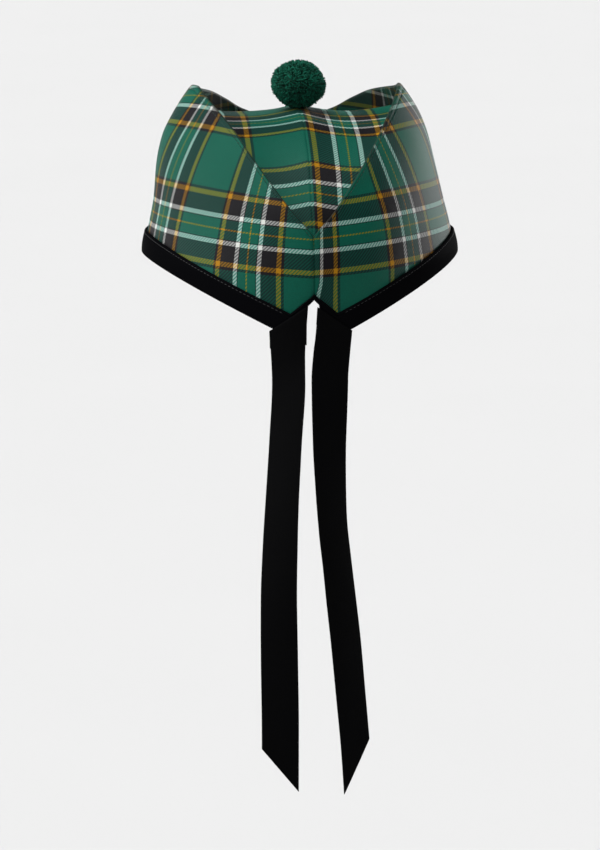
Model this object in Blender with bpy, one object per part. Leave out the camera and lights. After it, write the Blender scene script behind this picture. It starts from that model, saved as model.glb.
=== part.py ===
"""Glengarry: a tartan boat-shaped cap with a ribbon-bound rim, two ribbon tails and a pompom.

The cap is open, as it is when worn. Two doubled side panels stand round the head and lean in
towards the top. Between them two crown halves climb from the rim, fold over below the panels'
top edges and meet in a ridge. A ribbon folded over the rim binds it all round and runs up the
two edges of the rear slit, and two ribbon tails hang from the slit.

Frame: metres, +Z up. The origin is the middle of the head opening, level with the rim at the
sides. The front of the cap faces -Y, the slit faces +Y and the wearer's left is +X.
"""

import math
import random

import bpy
import bmesh
from mathutils import Vector

MM = 0.001

# Plan of the cap at the rim: a rounded wedge, widest over the ears
HALF_WIDTH = 86.2 * MM
REAR_LENGTH = 96.0 * MM
FRONT_LENGTH = 110.0 * MM
PLAN_POWER = 1.75

# Lean of the front end, as a share of the lean at the sides
FRONT_LEAN_SHARE = 0.5

# Cloth and ribbon
PANEL_THICKNESS = 2.4 * MM
CROWN_THICKNESS = 1.6 * MM
RIBBON_THICKNESS = 1.0 * MM
RIBBON_WIDTH = 20.0 * MM
GAP = 0.3 * MM
CLOTH_GAP = 0.5 * MM

# Rim: it dips towards both ends, as straight-cut panels do when the cap is opened
REAR_DIP = 37.5 * MM
FRONT_DIP = 24.0 * MM
DIP_POWER = 1.1

# Rear slit, measured to the outside of its binding
SLIT_TOP = -11.3 * MM
SLIT_SHOULDER = -14.5 * MM
SLIT_HALF_WIDTH = 3.6 * MM

# Binding: how far the ribbon reaches up outside and inside
BINDING_OUTSIDE = 13.0 * MM
BINDING_INSIDE = 7.5 * MM
BINDING_MITRE = 12.5 * MM
BINDING_OVER_SLIT = 3.5 * MM

# Crown: soft cross ridge, and the lift where the cloth climbs the panels
CREST_DROP = 4.5 * MM
CREST_REACH = 20.0 * MM
FLANK_LIFT = 2.6 * MM
FLANK_REACH = 50.0 * MM
CROWN_FOLD = 2.5 * MM
CROWN_BELOW_EDGE = 2.4 * MM

# Pompom
POMPOM_PLACE = (0.0, -12.0 * MM)
POMPOM_WIDTH = 30.0 * MM
POMPOM_HEIGHT = 27.0 * MM
POMPOM_LOCK = 2.6 * MM
POMPOM_BARE_BASE = -0.55

# Stations round one half of the cap, and rows up its cloth
STATIONS = 30
RIM_ROWS = (0.0, 4.0 * MM, 8.5 * MM, 13.0 * MM)
SHARED_ROWS = 4
FREE_ROWS = 2
CROWN_TOP_ROWS = 7
TAIL_ROWS = 24
TAIL_COLUMNS = 4

# height | inward lean on the wearer's left | on the wearer's right | forward lean at the rear
PANEL_LEAN = [
    (-40 * MM, 0.0 * MM, 0.0 * MM, 0.0 * MM),
    (0 * MM, 0.0 * MM, 0.0 * MM, 0.0 * MM),
    (12 * MM, 1.7 * MM, 2.3 * MM, 1.6 * MM),
    (30 * MM, 5.0 * MM, 7.2 * MM, 5.5 * MM),
    (50 * MM, 7.6 * MM, 11.6 * MM, 16.5 * MM),
    (65 * MM, 11.3 * MM, 15.4 * MM, 27.5 * MM),
    (76 * MM, 16.4 * MM, 19.8 * MM, 36.0 * MM),
    (86 * MM, 22.2 * MM, 25.8 * MM, 43.5 * MM),
    (96 * MM, 30.0 * MM, 33.5 * MM, 50.0 * MM),
]

# share of the way from rear seam to front seam | height of the top edge on the left | right
PANEL_TOP = [
    (0.000, 22.0 * MM, 22.0 * MM),
    (0.055, 34.6 * MM, 33.6 * MM),
    (0.104, 47.9 * MM, 46.7 * MM),
    (0.160, 62.9 * MM, 60.6 * MM),
    (0.205, 73.3 * MM, 70.7 * MM),
    (0.250, 80.1 * MM, 78.7 * MM),
    (0.300, 85.6 * MM, 84.8 * MM),
    (0.360, 90.2 * MM, 90.0 * MM),
    (0.440, 93.5 * MM, 93.0 * MM),
    (0.500, 93.2 * MM, 93.2 * MM),
    (0.600, 89.3 * MM, 89.3 * MM),
    (0.730, 83.2 * MM, 83.2 * MM),
    (0.800, 76.8 * MM, 76.8 * MM),
    (0.860, 69.6 * MM, 69.6 * MM),
    (1.000, 58.0 * MM, 58.0 * MM),
]

# distance behind the middle | height of the crown's ridge
CROWN_RIDGE = [
    (-108 * MM, 47.0 * MM),
    (-95 * MM, 57.5 * MM),
    (-80 * MM, 66.0 * MM),
    (-60 * MM, 73.2 * MM),
    (-35 * MM, 77.5 * MM),
    (-12 * MM, 78.4 * MM),
    (12 * MM, 76.5 * MM),
    (33 * MM, 71.9 * MM),
    (50 * MM, 65.2 * MM),
    (65 * MM, 56.6 * MM),
    (73 * MM, 48.4 * MM),
    (80 * MM, 38.6 * MM),
    (85.5 * MM, 28.8 * MM),
    (90.3 * MM, 19.4 * MM),
]

# height | distance to the wearer's side | distance behind the middle | degrees turned outward
TAIL_LEFT = [
    (-10 * MM, 13.6 * MM, 97.0 * MM, 18.0),
    (-29 * MM, 14.0 * MM, 97.3 * MM, 20.0),
    (-40 * MM, 13.8 * MM, 97.8 * MM, 28.0),
    (-54 * MM, 13.6 * MM, 98.6 * MM, 33.0),
    (-87 * MM, 15.4 * MM, 99.6 * MM, 36.0),
    (-116 * MM, 17.1 * MM, 100.2 * MM, 34.0),
    (-141 * MM, 18.2 * MM, 100.0 * MM, 28.0),
    (-173 * MM, 19.0 * MM, 99.4 * MM, 19.0),
    (-208 * MM, 18.7 * MM, 98.6 * MM, 8.0),
    (-245 * MM, 18.3 * MM, 98.2 * MM, 4.0),
    (-282 * MM, 18.3 * MM, 98.0 * MM, 3.0),
]
TAIL_RIGHT = [
    (-10 * MM, 11.6 * MM, 97.0 * MM, 13.0),
    (-29 * MM, 10.3 * MM, 97.4 * MM, 12.0),
    (-40 * MM, 9.1 * MM, 98.0 * MM, 8.0),
    (-54 * MM, 8.0 * MM, 98.8 * MM, 11.0),
    (-86 * MM, 7.8 * MM, 99.8 * MM, 24.0),
    (-117 * MM, 8.8 * MM, 100.2 * MM, 33.0),
    (-134 * MM, 9.9 * MM, 100.0 * MM, 36.0),
    (-153 * MM, 12.0 * MM, 99.6 * MM, 36.0),
    (-174 * MM, 14.3 * MM, 99.0 * MM, 34.0),
    (-198 * MM, 17.0 * MM, 98.6 * MM, 33.0),
    (-229 * MM, 19.9 * MM, 98.4 * MM, 34.0),
    (-255 * MM, 22.2 * MM, 98.2 * MM, 35.0),
    (-282 * MM, 24.0 * MM, 98.0 * MM, 35.0),
]

# Tails: the slanted fold at the top and the slanted cut at the end
TAIL_TOP_INNER = -14.5 * MM
TAIL_TOP_OUTER = -28.0 * MM
TAIL_END_INNER = -280.5 * MM
TAIL_END_OUTER = {"left": -256.0 * MM, "right": -253.0 * MM}
TAIL_LEAVES_HAT = -34.0 * MM
TAIL_HANGS_FREE = -62.0 * MM

SIDES = {"left": 1, "right": -1}


def clear_scene():
    """Remove every object so that the model starts from nothing."""
    for item in list(bpy.data.objects):
        bpy.data.objects.remove(item, do_unlink=True)


def ease(rows, place, column=1):
    """Read a table's column at a place between its rows, smoothly and without overshoot."""
    place = min(max(place, rows[0][0]), rows[-1][0]) if rows[0][0] < rows[-1][0] else \
        max(min(place, rows[0][0]), rows[-1][0])
    spans = [after[0] - before[0] for before, after in zip(rows, rows[1:])]
    slopes = [(after[column] - before[column]) / span
              for before, after, span in zip(rows, rows[1:], spans)]
    ends = [slopes[0]]
    for left, right in zip(slopes, slopes[1:]):
        ends.append(0.0 if left * right <= 0.0 else 2.0 * left * right / (left + right))
    ends.append(slopes[-1])
    for index, span in enumerate(spans):
        share = (place - rows[index][0]) / span
        if share <= 1.0 or index == len(spans) - 1:
            break
    before, after = rows[index][column], rows[index + 1][column]
    squared, cubed = share * share, share ** 3
    return (before * (2 * cubed - 3 * squared + 1) + after * (3 * squared - 2 * cubed)
            + span * ends[index] * (cubed - 2 * squared + share)
            + span * ends[index + 1] * (cubed - squared))


def lean(turn, height, side):
    """Inward lean of the panels at a height, equal on both sides at the two seams."""
    left = ease(PANEL_LEAN, height, 1)
    right = ease(PANEL_LEAN, height, 2)
    middle = (left + right) / 2
    return middle + side * (left - right) / 2 * math.sin(math.pi * turn) ** 2


def half_axes(turn, height, side):
    """Half width and end length of the plan at a height."""
    inward = lean(turn, height, side)
    if turn < 0.5:
        return HALF_WIDTH - inward, REAR_LENGTH - ease(PANEL_LEAN, height, 3)
    return HALF_WIDTH - inward, FRONT_LENGTH - FRONT_LEAN_SHARE * inward


def panel_top(turn, side):
    """Height of a panel's top edge."""
    return ease(PANEL_TOP, turn, 1 if side > 0 else 2)


def outward(turn, height, side):
    """Unit vector that points out of the cap, square to its outer face."""
    width, length = half_axes(turn, height, side)
    step = 1.0 * MM
    above = half_axes(turn, height + step, side)
    below = half_axes(turn, height - step, side)
    narrowing, shortening = [(low - high) / (2 * step) for low, high in zip(below, above)]
    across = abs(math.sin(math.pi * turn)) ** (2 / PLAN_POWER)
    along = abs(math.cos(math.pi * turn)) ** (2 / PLAN_POWER)
    rise = narrowing * across ** PLAN_POWER / width + shortening * along ** PLAN_POWER / length
    return Vector((side * across ** (PLAN_POWER - 1) / width,
                   math.copysign(along ** (PLAN_POWER - 1) / length, 0.5 - turn),
                   rise)).normalized()


def skin(turn, height, side, depth=0.0):
    """Point at a depth under the cap's outer face.

    turn runs from 0 at the rear seam to 1 at the front seam, and side is 1 on the wearer's
    left and -1 on the right. Nothing crosses the seam between the two halves.
    """
    width, length = half_axes(turn, height, side)
    across = abs(math.sin(math.pi * turn)) ** (2 / PLAN_POWER)
    along = abs(math.cos(math.pi * turn)) ** (2 / PLAN_POWER)
    face = Vector((side * width * across, math.copysign(length * along, 0.5 - turn), height))
    point = face - outward(turn, height, side) * depth
    point.x = side * max(side * point.x, GAP / 2)
    return point


def turn_at(across, height):
    """Turn at which the rear half of the outer face lies a distance from the middle."""
    width = HALF_WIDTH - lean(0.0, height, 1)
    share = min(abs(across) / width, 1.0)
    return math.asin(share ** (PLAN_POWER / 2)) / math.pi


def rim_height(turn):
    """Height of the rim's lower edge, without the slit."""
    across = abs(math.sin(math.pi * turn)) ** (2 / PLAN_POWER)
    dip = REAR_DIP if turn < 0.5 else FRONT_DIP
    return -dip * (1 - across) ** DIP_POWER


def slit_stations(inset):
    """Turn and height of the cloth's lower edge round the slit, inset under the binding."""
    half = SLIT_HALF_WIDTH + inset
    shoulder = turn_at(half - 0.4 * MM, SLIT_SHOULDER)
    corner = turn_at(half + 0.5 * MM, -REAR_DIP)
    return [(0.0, SLIT_TOP + inset),
            (shoulder, SLIT_SHOULDER + inset),
            (corner, rim_height(corner) + inset)]


def cloth_stations(inset):
    """Turn and lower height of every station from the rear seam to the front seam."""
    rows = slit_stations(inset)
    first = rows[-1][0]
    for index in range(1, STATIONS + 1):
        turn = first + (1 - first) * index / STATIONS
        rows.append((turn, rim_height(turn) + inset))
    return rows


def shared_heights(low, high):
    """Heights of the rows that panel and crown share: close behind the binding, then even."""
    first = low + RIM_ROWS[-1]
    above = [first + (high - first) * row / SHARED_ROWS for row in range(1, SHARED_ROWS + 1)]
    return [low + rise for rise in RIM_ROWS] + above


def loft(name, loops, material, parent):
    """Skin a closed solid over loops of points that fold back on themselves, and cap its ends."""
    mesh_data = bmesh.new()
    rings = [[mesh_data.verts.new(point) for point in loop] for loop in loops]
    count = len(loops[0])
    for ring, following in zip(rings, rings[1:]):
        for index in range(count):
            after = (index + 1) % count
            mesh_data.faces.new((ring[index], ring[after], following[after], following[index]))
    for ring, turned in ((rings[0], True), (rings[-1], False)):
        for index in range((count - 1) // 2):
            opposite = count - 1 - index
            corners = [ring[index], ring[index + 1], ring[opposite - 1], ring[opposite]]
            if corners[1] is corners[2]:
                corners.pop(2)
            mesh_data.faces.new(corners if turned else corners[::-1])
    bmesh.ops.remove_doubles(mesh_data, verts=mesh_data.verts, dist=0.002 * MM)
    bmesh.ops.recalc_face_normals(mesh_data, faces=mesh_data.faces)
    return finish(name, mesh_data, material, parent)


def finish(name, mesh_data, material, parent):
    """Turn the mesh into a smooth-shaded object with its material, under the cap's empty."""
    mesh = bpy.data.meshes.new(name)
    mesh_data.to_mesh(mesh)
    mesh_data.free()
    item = bpy.data.objects.new(name, mesh)
    bpy.context.scene.collection.objects.link(item)
    item.parent = parent
    mesh.materials.append(material)
    mesh.shade_smooth()
    mesh.set_sharp_from_angle(angle=math.radians(40))
    return item


def make_material(name, colour, roughness):
    """Make a plain cloth or ribbon material."""
    material = bpy.data.materials.new(name)
    material.use_nodes = True
    shader = material.node_tree.nodes["Principled BSDF"]
    shader.inputs["Base Color"].default_value = (*colour, 1.0)
    shader.inputs["Roughness"].default_value = roughness
    shader.inputs["Metallic"].default_value = 0.0
    material.diffuse_color = (*colour, 1.0)
    return material


def crown_height(across, back):
    """Height of the crown's upper face: a ridge along the middle that climbs at the flanks."""
    crest = CREST_DROP * math.tanh(abs(across) / CREST_REACH)
    flank = FLANK_LIFT * (abs(across) / FLANK_REACH) ** 4
    return ease(CROWN_RIDGE, back) - crest + flank


def crown_normal(across, back):
    """Unit vector square to the crown's upper face."""
    step = 0.5 * MM
    rise_x = (crown_height(abs(across) + step, back) - crown_height(abs(across), back)) / step
    rise_y = (crown_height(across, back + step) - crown_height(across, back - step)) / (2 * step)
    return Vector((-math.copysign(rise_x, across), -rise_y, 1.0)).normalized()


def crown_point(corner, fold, share, depth, side):
    """Point a share of the way from the crown's fold to its ridge, at a depth under its top."""
    edge = side * max(side * corner.x - fold, GAP / 2)
    across = edge + (side * GAP / 2 - edge) * share
    height = crown_height(across, corner.y)
    return Vector((across, corner.y, height - depth / crown_normal(across, corner.y).z))


def crown_corner(turn, side):
    """Where the crown's upper face would run into the panel, and how its edge is rounded.

    Returns the corner point, the width of the fold and the height at which the fold starts.
    """
    depth = PANEL_THICKNESS + CLOTH_GAP
    low, high = -10 * MM, panel_top(turn, side) - CROWN_BELOW_EDGE
    for _ in range(30):
        middle = (low + high) / 2
        point = skin(turn, middle, side, depth)
        if point.z > crown_height(point.x, point.y):
            high = middle
        else:
            low = middle
    corner = skin(turn, low, side, depth)
    fold = min(CROWN_FOLD, 0.3 * (abs(corner.x) - GAP / 2))
    return corner, fold, low - CROWN_FOLD


def side_panel(side):
    """Loops of one side panel: doubled cloth with a rounded fold along its top edge."""
    loops = []
    inset = RIBBON_THICKNESS + GAP
    for turn, low in cloth_stations(inset):
        top = panel_top(turn, side)
        shoulder = top - PANEL_THICKNESS / 2
        _, _, start = crown_corner(turn, side)
        bend = start + CROWN_FOLD
        free = [bend + (shoulder - bend) * row / FREE_ROWS for row in range(FREE_ROWS + 1)]
        heights = shared_heights(low, start) + free
        outer = [skin(turn, height, side) for height in heights]
        inner = [skin(turn, height, side, PANEL_THICKNESS) for height in heights]
        crease = skin(turn, top, side, PANEL_THICKNESS / 2)
        loops.append(outer + [crease] + inner[::-1])
    return loops


def crown_half(side):
    """Loops of one crown half: up the inside of the panel, over a soft fold and to the ridge."""
    loops = []
    depth = PANEL_THICKNESS + CLOTH_GAP
    inset = RIBBON_THICKNESS + GAP
    for turn, low in cloth_stations(inset):
        corner, fold, start = crown_corner(turn, side)
        rows = shared_heights(low, start)
        outer = [skin(turn, row, side, depth) for row in rows]
        inner = [skin(turn, row, side, depth + CROWN_THICKNESS) for row in rows]
        lifted = crown_normal(corner.x, corner.y)
        facing = (outward(turn, corner.z, side) + lifted).normalized()
        rounded = corner - facing * fold * (math.sqrt(2) - 1)
        shares = [row / CROWN_TOP_ROWS for row in range(CROWN_TOP_ROWS + 1)]
        under = skin(turn, start, side, depth + CROWN_THICKNESS)
        underside = [crown_point(under, fold, share, CROWN_THICKNESS, side) for share in shares]
        # The fold narrows to a plain slope between wall and underside at the crown's two tips
        slope = inner[-1].lerp(underside[0], 0.5)
        inner.append(slope.lerp(rounded - facing * CROWN_THICKNESS, fold / CROWN_FOLD))
        inner += underside
        outer.append(rounded)
        outer += [crown_point(corner, fold, share, 0.0, side) for share in shares]
        for point in outer + inner:
            point.x = side * max(side * point.x, GAP / 2)
        loops.append(outer + inner[::-1])
    return loops


def binding_section(edge, reach, side):
    """Loop of the folded ribbon: outside leg, turn under the rim, inside leg.

    edge and reach are (turn, height) pairs: the binding's lower edge and the top of its
    outside leg. The section is drawn on the line between them.
    """
    whole = (skin(*edge, side) - skin(*reach, side)).length
    inside = BINDING_INSIDE / BINDING_OUTSIDE
    inside_face = PANEL_THICKNESS + CLOTH_GAP + CROWN_THICKNESS + GAP
    section = [
        (-GAP - RIBBON_THICKNESS, whole),
        (-GAP - RIBBON_THICKNESS, whole / 2),
        (-GAP - RIBBON_THICKNESS, 0.8 * MM),
        (-GAP, 0.0),
        (inside_face, 0.0),
        (inside_face + RIBBON_THICKNESS, 0.8 * MM),
        (inside_face + RIBBON_THICKNESS, whole * inside),
        (inside_face, whole * inside),
        (inside_face, RIBBON_THICKNESS),
        (-GAP, RIBBON_THICKNESS),
        (-GAP, whole / 2),
        (-GAP, whole),
    ]
    loop = []
    for depth, rise in section:
        share = rise / whole
        turn = edge[0] + (reach[0] - edge[0]) * share
        height = edge[1] + (reach[1] - edge[1]) * share
        loop.append(skin(turn, height, side, depth))
    return loop


def binding_stations():
    """Pairs of lower edge and leg top for one half, from the slit's top to the front seam."""
    mitre_turn = turn_at(BINDING_MITRE, -REAR_DIP)
    mitre = (mitre_turn, rim_height(mitre_turn) + BINDING_OUTSIDE)
    slit = slit_stations(0.0)
    above_slit = (0.0, SLIT_TOP + BINDING_OVER_SLIT)
    halfway = (turn_at(BINDING_MITRE / 2, SLIT_TOP), (mitre[1] + above_slit[1]) / 2)
    middle_of_slit = (slit[2][0] * 0.98, (SLIT_SHOULDER + slit[2][1]) / 2)
    pairs = [(slit[0], above_slit), (slit[1], halfway), (middle_of_slit, mitre), (slit[2], mitre)]
    between = (slit[2][0] + mitre_turn) / 2
    pairs.append(((between, rim_height(between)), mitre))
    for index in range(STATIONS + 1):
        turn = mitre_turn + (1 - mitre_turn) * index / STATIONS
        low = rim_height(turn)
        pairs.append(((turn, low), (turn, low + BINDING_OUTSIDE)))
    return pairs


def rim_binding():
    """Loops of the ribbon that binds the rim, from one side of the slit round to the other."""
    pairs = binding_stations()
    left = [binding_section(edge, reach, 1) for edge, reach in pairs]
    right = [binding_section(edge, reach, -1) for edge, reach in pairs]
    front = [(one + other) / 2 for one, other in zip(left[-1], right[-1])]
    return left[:-1] + [front] + right[-2::-1]


def smooth_step(share):
    """Ease a share from 0 to 1."""
    share = min(max(share, 0.0), 1.0)
    return share * share * (3 - 2 * share)


def tail_grid(rows, end_outer, side):
    """Grid of points down the middle of a ribbon tail, inner edge first."""
    grid = []
    lie = -(GAP + RIBBON_THICKNESS) - CLOTH_GAP - RIBBON_THICKNESS / 2
    for row in range(TAIL_ROWS + 1):
        line = []
        for column in range(TAIL_COLUMNS + 1):
            out = column / TAIL_COLUMNS
            top = TAIL_TOP_INNER + (TAIL_TOP_OUTER - TAIL_TOP_INNER) * out
            end = TAIL_END_INNER + (end_outer - TAIL_END_INNER) * out
            height = top + (end - top) * row / TAIL_ROWS
            turned = math.radians(ease(rows, height, 3))
            offset = (out - 0.5) * RIBBON_WIDTH
            across = side * (ease(rows, height, 1) + offset * math.cos(turned))
            hanging = Vector((across, ease(rows, height, 2) - offset * math.sin(turned), height))
            half = math.copysign(1.0, across) if across else side
            lying = skin(turn_at(across, height), height, half, lie)
            lying.x = across
            free = smooth_step((TAIL_LEAVES_HAT - height) / (TAIL_LEAVES_HAT - TAIL_HANGS_FREE))
            line.append(lying.lerp(hanging, free))
        grid.append(line)
    return grid


def grid_normals(grid):
    """Unit vectors square to a grid of points."""
    normals = []
    last_row, last_column = len(grid) - 1, len(grid[0]) - 1
    for row, line in enumerate(grid):
        found = []
        for column in range(len(line)):
            down = grid[min(row + 1, last_row)][column] - grid[max(row - 1, 0)][column]
            across = line[min(column + 1, last_column)] - line[max(column - 1, 0)]
            found.append(across.cross(down).normalized())
        normals.append(found)
    return normals


def ribbon_tail(rows, end_outer, side):
    """Loops of one ribbon tail."""
    grid = tail_grid(rows, end_outer, side)
    loops = []
    for line, normals in zip(grid, grid_normals(grid)):
        half = [normal * (RIBBON_THICKNESS / 2) for normal in normals]
        front = [point + offset for point, offset in zip(line, half)]
        back = [point - offset for point, offset in zip(line, half)]
        loops.append(front + back[::-1])
    return loops


def pompom(material, parent):
    """Ball of cut yarn: each facet of a ball is drawn out into a tapered lock."""
    chance = random.Random(11)
    core = POMPOM_WIDTH / 2 - POMPOM_LOCK
    mesh_data = bmesh.new()
    bmesh.ops.create_icosphere(mesh_data, subdivisions=3, radius=core)
    drawn = [face for face in mesh_data.faces if face.normal.z > POMPOM_BARE_BASE]
    locks = bmesh.ops.extrude_discrete_faces(mesh_data, faces=drawn)["faces"]
    for face in locks:
        middle = face.calc_center_median()
        reach = 1 + POMPOM_LOCK / core * chance.uniform(0.82, 1.0)
        for corner in face.verts:
            corner.co = (middle + (corner.co - middle) * 0.55) * reach
    squash = POMPOM_HEIGHT / POMPOM_WIDTH
    lowest = min(vertex.co.z for vertex in mesh_data.verts) * squash
    place_x, place_y = POMPOM_PLACE
    seat = crown_height(place_x, place_y) + 2 * GAP
    for vertex in mesh_data.verts:
        vertex.co.x += place_x
        vertex.co.y += place_y
        vertex.co.z = vertex.co.z * squash - lowest + seat
    bmesh.ops.recalc_face_normals(mesh_data, faces=mesh_data.faces)
    return finish("pompom", mesh_data, material, parent)


def main():
    """Build every piece of the cap."""
    clear_scene()
    cap = bpy.data.objects.new("glengarry", None)
    bpy.context.scene.collection.objects.link(cap)

    tartan = make_material("tartan_wool", (0.011, 0.13, 0.08), 0.9)
    crown_cloth = make_material("crown_tartan_wool", (0.013, 0.15, 0.09), 0.9)
    satin = make_material("black_satin_ribbon", (0.006, 0.006, 0.007), 0.45)
    grosgrain = make_material("black_grosgrain_ribbon", (0.004, 0.004, 0.004), 0.8)
    yarn = make_material("dark_green_yarn", (0.005, 0.06, 0.035), 0.95)

    for word, side in SIDES.items():
        loft("side_panel_" + word, side_panel(side), tartan, cap)
        loft("crown_" + word, crown_half(side), crown_cloth, cap)
    loft("rim_binding", rim_binding(), satin, cap)
    loft("ribbon_tail_left", ribbon_tail(TAIL_LEFT[::-1], TAIL_END_OUTER["left"], 1),
         grosgrain, cap)
    loft("ribbon_tail_right", ribbon_tail(TAIL_RIGHT[::-1], TAIL_END_OUTER["right"], -1),
         grosgrain, cap)
    pompom(yarn, cap)


main()
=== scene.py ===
"""Glengarry: tartan cloth, bound rim, ribbon tails and pompom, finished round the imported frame.

Metres, +Z up. The front of the cap faces -Y, the rear slit faces +Y and the wearer's left is +X.
"""

import logging
import math
from dataclasses import dataclass
from enum import Enum
from typing import Any, Optional, Sequence

import bmesh
import bpy
import numpy as np
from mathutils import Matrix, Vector


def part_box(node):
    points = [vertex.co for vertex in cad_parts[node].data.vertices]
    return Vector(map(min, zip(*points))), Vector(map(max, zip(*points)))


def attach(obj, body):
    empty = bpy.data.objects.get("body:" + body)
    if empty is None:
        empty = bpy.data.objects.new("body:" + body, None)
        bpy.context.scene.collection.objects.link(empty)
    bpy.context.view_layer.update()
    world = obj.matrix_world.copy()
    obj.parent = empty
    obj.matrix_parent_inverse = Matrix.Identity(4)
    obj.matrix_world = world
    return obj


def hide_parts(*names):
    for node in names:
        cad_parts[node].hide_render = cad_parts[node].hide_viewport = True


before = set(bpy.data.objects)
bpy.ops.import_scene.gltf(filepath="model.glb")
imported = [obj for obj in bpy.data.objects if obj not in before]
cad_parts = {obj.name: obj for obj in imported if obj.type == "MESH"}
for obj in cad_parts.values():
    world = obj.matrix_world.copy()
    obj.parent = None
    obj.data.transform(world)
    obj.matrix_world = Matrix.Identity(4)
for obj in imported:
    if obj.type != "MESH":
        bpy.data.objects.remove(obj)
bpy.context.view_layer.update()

LOG = logging.getLogger("glengarry")
MM = 0.001
BODY = "root"
WEAVE_UV = "weave"
Rows = Sequence[tuple[float, ...]]


class Side(Enum):
    """A half of the cap, by the wearer's hand: the sign of its X."""

    LEFT = 1
    RIGHT = -1

    @property
    def word(self) -> str:
        """The side's plain name."""
        return self.name.lower()


# Height | inward lean on the wearer's left | on the wearer's right | forward lean at the rear, in mm
PANEL_LEAN = (
    (-40, 0.0, 0.0, 0.0),
    (0, 0.0, 0.0, 0.0),
    (12, 1.7, 2.3, 1.6),
    (30, 5.0, 7.2, 5.5),
    (50, 7.6, 11.6, 16.5),
    (65, 11.3, 15.4, 27.5),
    (76, 16.4, 19.8, 36.0),
    (86, 22.2, 25.8, 43.5),
    (96, 30.0, 33.5, 50.0),
)

# Share of the way from rear seam to front seam | height of the top edge on the left | right, in mm
PANEL_TOP = (
    (0.000, 22.0, 22.0),
    (0.055, 34.6, 33.6),
    (0.104, 47.9, 46.7),
    (0.160, 62.9, 60.6),
    (0.205, 73.3, 70.7),
    (0.250, 80.1, 78.7),
    (0.300, 85.6, 84.8),
    (0.360, 90.2, 90.0),
    (0.440, 93.5, 93.0),
    (0.500, 93.2, 93.2),
    (0.600, 89.3, 89.3),
    (0.730, 83.2, 83.2),
    (0.800, 76.8, 76.8),
    (0.860, 69.6, 69.6),
    (1.000, 58.0, 58.0),
)

# Distance behind the middle | height of the crown's ridge, in mm
CROWN_RIDGE = (
    (-108, 47.0),
    (-95, 57.5),
    (-80, 66.0),
    (-60, 73.2),
    (-35, 77.5),
    (-12, 78.4),
    (12, 76.5),
    (33, 71.9),
    (50, 65.2),
    (65, 56.6),
    (73, 48.4),
    (80, 38.6),
    (85.5, 28.8),
    (90.3, 19.4),
)

# Stray of each panel's cloth in mm, round the head and then upwards. Rows are rising powers of
# the distance from the rear seam in 100 mm, columns rising powers of the way up in 50 mm
STRAY_UNIT = (100 * MM, 50 * MM)
STRAY_REACH = (140 * MM, 100 * MM)
CLOTH_STRAY = {
    Side.LEFT: (((0.94, -0.31, 1.09), (2.56, 1.20, 1.43), (-4.57, 1.01, 1.96)),
                ((2.19, 1.35, 0.77), (-5.07, -3.61, -2.02), (2.10, 0.93, 2.62))),
    Side.RIGHT: (((0.13, -3.13, 1.00), (2.18, 2.39, 2.47), (-3.91, 0.92, 1.36)),
                 ((1.99, 0.88, 0.59), (-5.94, -2.78, -0.73), (4.19, 0.64, 1.15))),
}

# Cloth place at each panel's rear seam where a broad green starts
SETT_START = {Side.LEFT: 2.25 * MM, Side.RIGHT: 29.25 * MM}

# Share by which each panel's cloth is eased together beside the rear seam, how far from the seam
# that reaches, and the part of it that is lost by the top of the slit
SEAM_EASE = {Side.LEFT: 0.0, Side.RIGHT: 0.50}
EASE_REACH = 11.5 * MM
EASE_LOST = 0.6
EASE_LOST_OVER = 11.0 * MM

# Height | distance to the wearer's side | distance behind the middle, in mm | degrees turned out
TAIL_PATHS = {
    Side.LEFT: (
        (-282, 18.3, 98.0, 3.0),
        (-245, 18.3, 98.2, 4.0),
        (-208, 18.7, 98.6, 8.0),
        (-173, 19.0, 99.4, 19.0),
        (-141, 18.2, 100.0, 28.0),
        (-116, 17.1, 100.2, 34.0),
        (-87, 15.4, 99.6, 36.0),
        (-54, 13.6, 98.6, 33.0),
        (-40, 13.8, 97.8, 28.0),
        (-29, 14.0, 97.3, 20.0),
        (-10, 13.6, 97.0, 18.0),
    ),
    Side.RIGHT: (
        (-282, 24.0, 98.0, 35.0),
        (-255, 22.2, 98.2, 35.0),
        (-229, 19.9, 98.4, 34.0),
        (-198, 17.0, 98.6, 33.0),
        (-174, 14.3, 99.0, 34.0),
        (-153, 12.0, 99.6, 36.0),
        (-134, 9.9, 100.0, 36.0),
        (-117, 8.8, 100.2, 33.0),
        (-86, 7.8, 99.8, 24.0),
        (-54, 8.0, 98.8, 11.0),
        (-40, 9.1, 98.0, 8.0),
        (-29, 10.3, 97.4, 12.0),
        (-10, 11.6, 97.0, 13.0),
    ),
}


def linear(hex_colour: str) -> tuple[float, float, float, float]:
    """Turn an sRGB hex colour into linear light.

    Args:
        hex_colour: Six hex digits.

    Returns:
        Red, green, blue and an alpha of 1.
    """
    parts = [int(hex_colour[index:index + 2], 16) / 255 for index in (0, 2, 4)]
    light = [part / 12.92 if part <= 0.04045 else ((part + 0.055) / 1.055) ** 2.4 for part in parts]
    return (*light, 1.0)


def smooth_step(share: np.ndarray) -> np.ndarray:
    """Ease shares from 0 to 1."""
    share = np.clip(share, 0.0, 1.0)
    return share * share * (3 - 2 * share)


def unit(vectors: np.ndarray) -> np.ndarray:
    """Scale vectors to length 1."""
    return vectors / np.maximum(np.linalg.norm(vectors, axis=-1, keepdims=True), 1e-12)


def bell(distance: np.ndarray, reach: float) -> np.ndarray:
    """Fall smoothly from 1 at a distance of 0."""
    return np.exp(-(distance / reach) ** 2)


def curve(start: np.ndarray, middle: np.ndarray, end: np.ndarray, share: np.ndarray) -> np.ndarray:
    """Points on the way from a start to an end, drawn towards a middle."""
    return (1 - share) ** 2 * start + 2 * share * (1 - share) * middle + share ** 2 * end


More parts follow.
